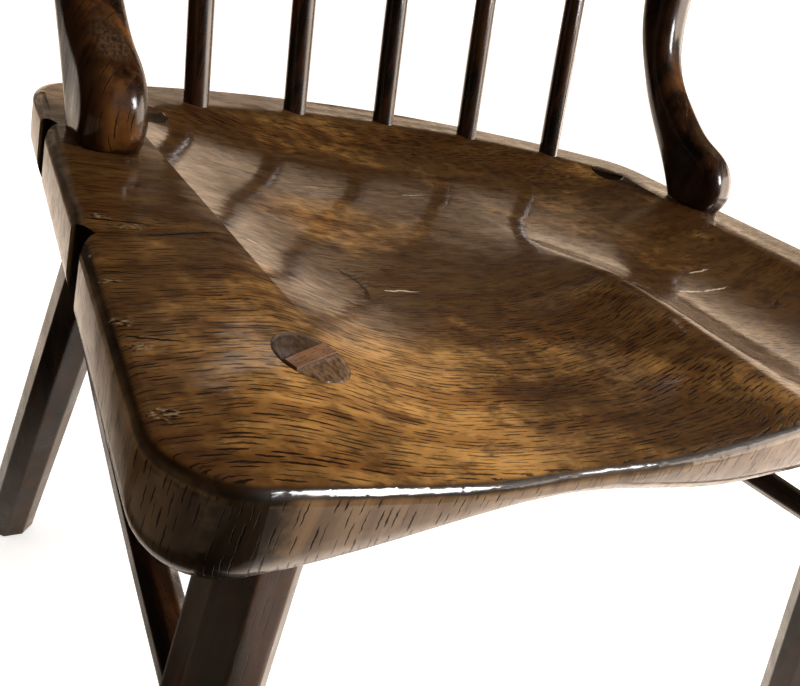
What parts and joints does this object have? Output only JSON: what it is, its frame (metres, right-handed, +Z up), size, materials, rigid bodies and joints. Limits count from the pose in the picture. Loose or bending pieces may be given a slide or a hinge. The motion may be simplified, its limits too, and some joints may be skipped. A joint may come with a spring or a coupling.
{
  "type": "wooden dining chair",
  "caption": "Rustic stick-back armchair in dark oak: saddled plank seat with notched sides, wedged octagonal legs, H stretcher, swept-back arm stumps, raked spindles and a curved comb rail.",
  "frame": {"origin": "middle of the chair's outline on the floor", "axes": "+X to the right of someone facing the chair, +Y towards the back, +Z up from the floor"},
  "size_m": [0.62, 0.5874, 1.0293],
  "materials": {
    "seat_oak": "dark stained oak plank, waxed and polished to a gloss, worn golden in the hollows",
    "frame_oak": "very dark stained oak, waxed and polished",
    "wedge_oak": "lighter oak wedges and pegs, polished with the rest"
  },
  "bodies": {
    "root": {"seat": "seat_oak", "front_leg_left": "frame_oak", "front_leg_right": "frame_oak", "rear_leg_left": "frame_oak", "rear_leg_right": "frame_oak", "side_stretcher_left": "frame_oak", "side_stretcher_right": "frame_oak", "cross_stretcher": "frame_oak", "arm_stump_left": "frame_oak", "arm_stump_right": "frame_oak", "arm_left": "frame_oak", "arm_right": "frame_oak", "arm_cap": "frame_oak", "spindle_far_left": "frame_oak", "spindle_left": "frame_oak", "spindle_centre": "frame_oak", "spindle_right": "frame_oak", "spindle_far_right": "frame_oak", "comb_rail": "frame_oak", "front_leg_wedge_left": "wedge_oak", "front_leg_wedge_right": "wedge_oak", "rear_leg_wedge_left": "wedge_oak", "rear_leg_wedge_right": "wedge_oak", "arm_stump_wedge_left": "wedge_oak", "arm_stump_wedge_right": "wedge_oak", "arm_cap_pegs": "wedge_oak", "comb_pegs": "wedge_oak"}
  },
  "joints": []
}
